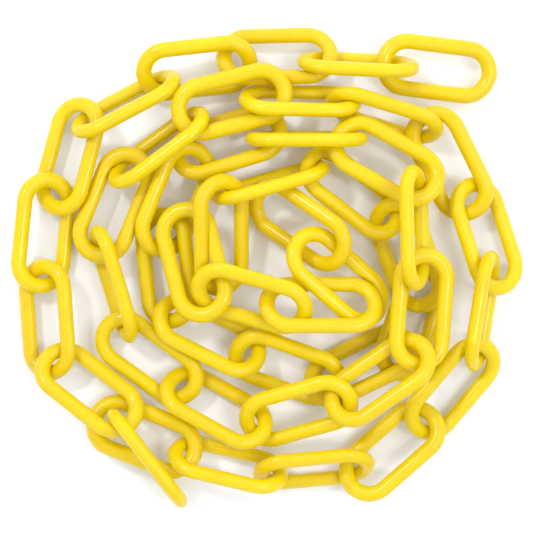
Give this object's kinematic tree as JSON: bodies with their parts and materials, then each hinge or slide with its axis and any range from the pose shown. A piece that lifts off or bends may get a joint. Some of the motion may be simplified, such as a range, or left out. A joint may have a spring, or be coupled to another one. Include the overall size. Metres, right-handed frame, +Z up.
{
  "type": "plastic barrier chain",
  "caption": "Loose coil of moulded plastic barrier chain, closed oval links hooked through each other, for hanging between stanchions.",
  "frame": {"origin": "middle of the coil's outline, on the floor it lies on", "axes": "+Z up, +Y towards the side of the coil where the outer free end lies, +X to the right"},
  "size_m": [0.231, 0.2164, 0.0452],
  "materials": {
    "yellow_plastic": "satin moulded polyethylene"
  },
  "bodies": {
    "link_01": {"link_01": "yellow_plastic"},
    "link_02": {"link_02": "yellow_plastic"},
    "link_03": {"link_03": "yellow_plastic"},
    "link_04": {"link_04": "yellow_plastic"},
    "link_05": {"link_05": "yellow_plastic"},
    "link_06": {"link_06": "yellow_plastic"},
    "link_07": {"link_07": "yellow_plastic"},
    "link_08": {"link_08": "yellow_plastic"},
    "link_09": {"link_09": "yellow_plastic"},
    "link_10": {"link_10": "yellow_plastic"},
    "link_11": {"link_11": "yellow_plastic"},
    "link_12": {"link_12": "yellow_plastic"},
    "link_13": {"link_13": "yellow_plastic"},
    "link_14": {"link_14": "yellow_plastic"},
    "link_15": {"link_15": "yellow_plastic"},
    "link_16": {"link_16": "yellow_plastic"},
    "link_17": {"link_17": "yellow_plastic"},
    "link_18": {"link_18": "yellow_plastic"},
    "link_19": {"link_19": "yellow_plastic"},
    "link_20": {"link_20": "yellow_plastic"},
    "link_21": {"link_21": "yellow_plastic"},
    "link_22": {"link_22": "yellow_plastic"},
    "link_23": {"link_23": "yellow_plastic"},
    "link_24": {"link_24": "yellow_plastic"},
    "link_25": {"link_25": "yellow_plastic"},
    "link_26": {"link_26": "yellow_plastic"},
    "link_27": {"link_27": "yellow_plastic"},
    "link_28": {"link_28": "yellow_plastic"},
    "link_29": {"link_29": "yellow_plastic"},
    "link_30": {"link_30": "yellow_plastic"},
    "link_31": {"link_31": "yellow_plastic"},
    "link_32": {"link_32": "yellow_plastic"},
    "link_33": {"link_33": "yellow_plastic"},
    "link_34": {"link_34": "yellow_plastic"},
    "link_35": {"link_35": "yellow_plastic"},
    "link_36": {"link_36": "yellow_plastic"},
    "link_37": {"link_37": "yellow_plastic"},
    "link_38": {"link_38": "yellow_plastic"},
    "link_39": {"link_39": "yellow_plastic"},
    "link_40": {"link_40": "yellow_plastic"},
    "link_41": {"link_41": "yellow_plastic"},
    "link_42": {"link_42": "yellow_plastic"},
    "link_43": {"link_43": "yellow_plastic"},
    "link_44": {"link_44": "yellow_plastic"},
    "link_45": {"link_45": "yellow_plastic"},
    "link_46": {"link_46": "yellow_plastic"},
    "link_47": {"link_47": "yellow_plastic"},
    "link_48": {"link_48": "yellow_plastic"}
  },
  "joints": [
    {"name": "hook_01_02", "type": "hinge", "parent": "link_02", "child": "link_01", "pos_m": [0.058, 0.0908, 0.0122], "axis": [0, 0, 1], "range_deg": [-0.5, 5]},
    {"name": "hook_02_03", "type": "hinge", "parent": "link_03", "child": "link_02", "pos_m": [0.022, 0.0935, 0.0125], "axis": [0, 0, 1], "range_deg": [-0.5, 5]},
    {"name": "hook_03_04", "type": "hinge", "parent": "link_04", "child": "link_03", "pos_m": [-0.0144, 0.0933, 0.0098], "axis": [0, 0, 1], "range_deg": [-0.5, 5]},
    {"name": "hook_04_05", "type": "hinge", "parent": "link_05", "child": "link_04", "pos_m": [-0.0496, 0.0854, 0.0126], "axis": [0, 0, 1], "range_deg": [-0.5, 5]},
    {"name": "hook_05_06", "type": "hinge", "parent": "link_06", "child": "link_05", "pos_m": [-0.0847, 0.0675, 0.0114], "axis": [0, 0, 1], "range_deg": [-0.5, 5]},
    {"name": "hook_06_07", "type": "hinge", "parent": "link_07", "child": "link_06", "pos_m": [-0.0976, 0.0327, 0.0096], "axis": [0, 0, 1], "range_deg": [-0.2, 5]},
    {"name": "hook_07_08", "type": "hinge", "parent": "link_08", "child": "link_07", "pos_m": [-0.103, -0.0045, 0.0087], "axis": [0, 0, 1], "range_deg": [-0.15, 1]},
    {"name": "hook_08_09", "type": "hinge", "parent": "link_09", "child": "link_08", "pos_m": [-0.0992, -0.0446, 0.0103], "axis": [0, 0, -1], "range_deg": [-1, 0.1]},
    {"name": "hook_09_10", "type": "hinge", "parent": "link_10", "child": "link_09", "pos_m": [-0.065, -0.0681, 0.0184], "axis": [0, 0, 1], "range_deg": [-0.1, 1]},
    {"name": "hook_10_11", "type": "hinge", "parent": "link_11", "child": "link_10", "pos_m": [-0.0593, -0.0866, 0.0107], "axis": [0, 0, -1], "range_deg": [-1, 0.1]},
    {"name": "hook_11_12", "type": "hinge", "parent": "link_12", "child": "link_11", "pos_m": [-0.0378, -0.0845, 0.0125], "axis": [0, 0, 1], "range_deg": [-0.1, 1]},
    {"name": "hook_12_13", "type": "hinge", "parent": "link_13", "child": "link_12", "pos_m": [0.0008, -0.0939, 0.0139], "axis": [0, 0, -1], "range_deg": [-1, 0.15]},
    {"name": "hook_13_14", "type": "hinge", "parent": "link_14", "child": "link_13", "pos_m": [0.0409, -0.0941, 0.0116], "axis": [0, 0, 1], "range_deg": [-0.2, 1]},
    {"name": "hook_14_15", "type": "hinge", "parent": "link_15", "child": "link_14", "pos_m": [0.0706, -0.0705, 0.0101], "axis": [0, 0, -1], "range_deg": [-0.5, 0.2]},
    {"name": "hook_15_16", "type": "hinge", "parent": "link_16", "child": "link_15", "pos_m": [0.0954, -0.0403, 0.0122], "axis": [0, 0, 1], "range_deg": [-0.2, 0.3]},
    {"name": "hook_16_17", "type": "hinge", "parent": "link_17", "child": "link_16", "pos_m": [0.1028, -0.0027, 0.0123], "axis": [0, 0, -1], "range_deg": [-0.3, 0.3]},
    {"name": "hook_17_18", "type": "hinge", "parent": "link_18", "child": "link_17", "pos_m": [0.0915, 0.0306, 0.0105], "axis": [0, 0, 1], "range_deg": [-0.3, 0.3]},
    {"name": "hook_18_19", "type": "hinge", "parent": "link_19", "child": "link_18", "pos_m": [0.0727, 0.0642, 0.0136], "axis": [0, 0, -1], "range_deg": [-0.2, 0.5]},
    {"name": "hook_19_20", "type": "hinge", "parent": "link_20", "child": "link_19", "pos_m": [0.0335, 0.0742, 0.0153], "axis": [0, 0, 1], "range_deg": [-1, 0.2]},
    {"name": "hook_20_21", "type": "hinge", "parent": "link_21", "child": "link_20", "pos_m": [-0.0016, 0.0767, 0.0192], "axis": [0, 0, -1], "range_deg": [-0.3, 1]},
    {"name": "hook_21_22", "type": "hinge", "parent": "link_22", "child": "link_21", "pos_m": [-0.035, 0.0674, 0.0183], "axis": [0, 0, 1], "range_deg": [-0.5, 0.3]},
    {"name": "hook_22_23", "type": "hinge", "parent": "link_23", "child": "link_22", "pos_m": [-0.0648, 0.0446, 0.0119], "axis": [0, 0, -1], "range_deg": [-0.5, 0.5]},
    {"name": "hook_23_24", "type": "hinge", "parent": "link_24", "child": "link_23", "pos_m": [-0.0778, 0.0102, 0.0128], "axis": [0, 0, 1], "range_deg": [-0.3, 0.5]},
    {"name": "hook_24_25", "type": "hinge", "parent": "link_24", "child": "link_25", "pos_m": [-0.0681, -0.0293, 0.0118], "axis": [0, 0, -1], "range_deg": [-0.3, 1]},
    {"name": "hook_25_26", "type": "hinge", "parent": "link_25", "child": "link_26", "pos_m": [-0.0396, -0.054, 0.0086], "axis": [0, 0, 1], "range_deg": [-1, 0.3]},
    {"name": "hook_26_27", "type": "hinge", "parent": "link_26", "child": "link_27", "pos_m": [-0.006, -0.0731, 0.0141], "axis": [0, 0, -1], "range_deg": [-0.5, 1]},
    {"name": "hook_27_28", "type": "hinge", "parent": "link_27", "child": "link_28", "pos_m": [0.0324, -0.0607, 0.0233], "axis": [0, 0, 1], "range_deg": [-1, 0.5]},
    {"name": "hook_28_29", "type": "hinge", "parent": "link_28", "child": "link_29", "pos_m": [0.0671, -0.0397, 0.0271], "axis": [0, 0, -1], "range_deg": [-0.3, 0.5]},
    {"name": "hook_29_30", "type": "hinge", "parent": "link_29", "child": "link_30", "pos_m": [0.0665, -0.0012, 0.0304], "axis": [0, 0, 1], "range_deg": [-0.5, 0.5]},
    {"name": "hook_30_31", "type": "hinge", "parent": "link_30", "child": "link_31", "pos_m": [0.0681, 0.0379, 0.0292], "axis": [0, 0, -1], "range_deg": [-0.5, 0.3]},
    {"name": "hook_31_32", "type": "hinge", "parent": "link_31", "child": "link_32", "pos_m": [0.0359, 0.0576, 0.0214], "axis": [0, 0, 1], "range_deg": [-0.3, 1]},
    {"name": "hook_32_33", "type": "hinge", "parent": "link_32", "child": "link_33", "pos_m": [-0.0012, 0.0602, 0.013], "axis": [0, 0, -1], "range_deg": [-1, 0.5]},
    {"name": "hook_33_34", "type": "hinge", "parent": "link_33", "child": "link_34", "pos_m": [-0.0371, 0.0509, 0.0113], "axis": [0, 0, 1], "range_deg": [-1, 0.5]},
    {"name": "hook_34_35", "type": "hinge", "parent": "link_34", "child": "link_35", "pos_m": [-0.0498, 0.0156, 0.011], "axis": [0, 0, -1], "range_deg": [-0.5, 1]},
    {"name": "hook_35_36", "type": "hinge", "parent": "link_35", "child": "link_36", "pos_m": [-0.0459, -0.0224, 0.0133], "axis": [0, 0, 1], "range_deg": [-1, 0.5]},
    {"name": "hook_36_37", "type": "hinge", "parent": "link_36", "child": "link_37", "pos_m": [-0.0097, -0.0397, 0.0107], "axis": [0, 0, -1], "range_deg": [-1, 1]},
    {"name": "hook_37_38", "type": "hinge", "parent": "link_37", "child": "link_38", "pos_m": [0.0254, -0.0548, 0.0083], "axis": [0, 0, 1], "range_deg": [-1, 1]},
    {"name": "hook_38_39", "type": "hinge", "parent": "link_38", "child": "link_39", "pos_m": [0.0603, -0.0414, 0.0096], "axis": [0, 0, -1], "range_deg": [-1, 1]},
    {"name": "hook_39_40", "type": "hinge", "parent": "link_39", "child": "link_40", "pos_m": [0.072, -0.0101, 0.0082], "axis": [0, 0, 1], "range_deg": [-1, 1]},
    {"name": "hook_40_41", "type": "hinge", "parent": "link_40", "child": "link_41", "pos_m": [0.0559, 0.0233, 0.0099], "axis": [0, 0, -1], "range_deg": [-1, 1]},
    {"name": "hook_41_42", "type": "hinge", "parent": "link_41", "child": "link_42", "pos_m": [0.0215, 0.046, 0.0143], "axis": [0, 0, 1], "range_deg": [-1, 1]},
    {"name": "hook_42_43", "type": "hinge", "parent": "link_42", "child": "link_43", "pos_m": [-0.0218, 0.0343, 0.02], "axis": [0, 0, -1], "range_deg": [-1, 1]},
    {"name": "hook_43_44", "type": "hinge", "parent": "link_43", "child": "link_44", "pos_m": [-0.0302, 0.0075, 0.0167], "axis": [0, 0, 1], "range_deg": [-1, 0.3]},
    {"name": "hook_44_45", "type": "hinge", "parent": "link_44", "child": "link_45", "pos_m": [-0.029, -0.0144, 0.0266], "axis": [0, 0, -1], "range_deg": [-1, 1]},
    {"name": "hook_45_46", "type": "hinge", "parent": "link_45", "child": "link_46", "pos_m": [0.0074, -0.019, 0.0267], "axis": [0, 0, 1], "range_deg": [-1, 1]},
    {"name": "hook_46_47", "type": "hinge", "parent": "link_46", "child": "link_47", "pos_m": [0.0482, -0.0188, 0.0195], "axis": [0, 0, -1], "range_deg": [-1, 1]},
    {"name": "hook_47_48", "type": "hinge", "parent": "link_47", "child": "link_48", "pos_m": [0.0226, 0.0082, 0.0256], "axis": [0, 0, 1], "range_deg": [-1, 1]}
  ]
}
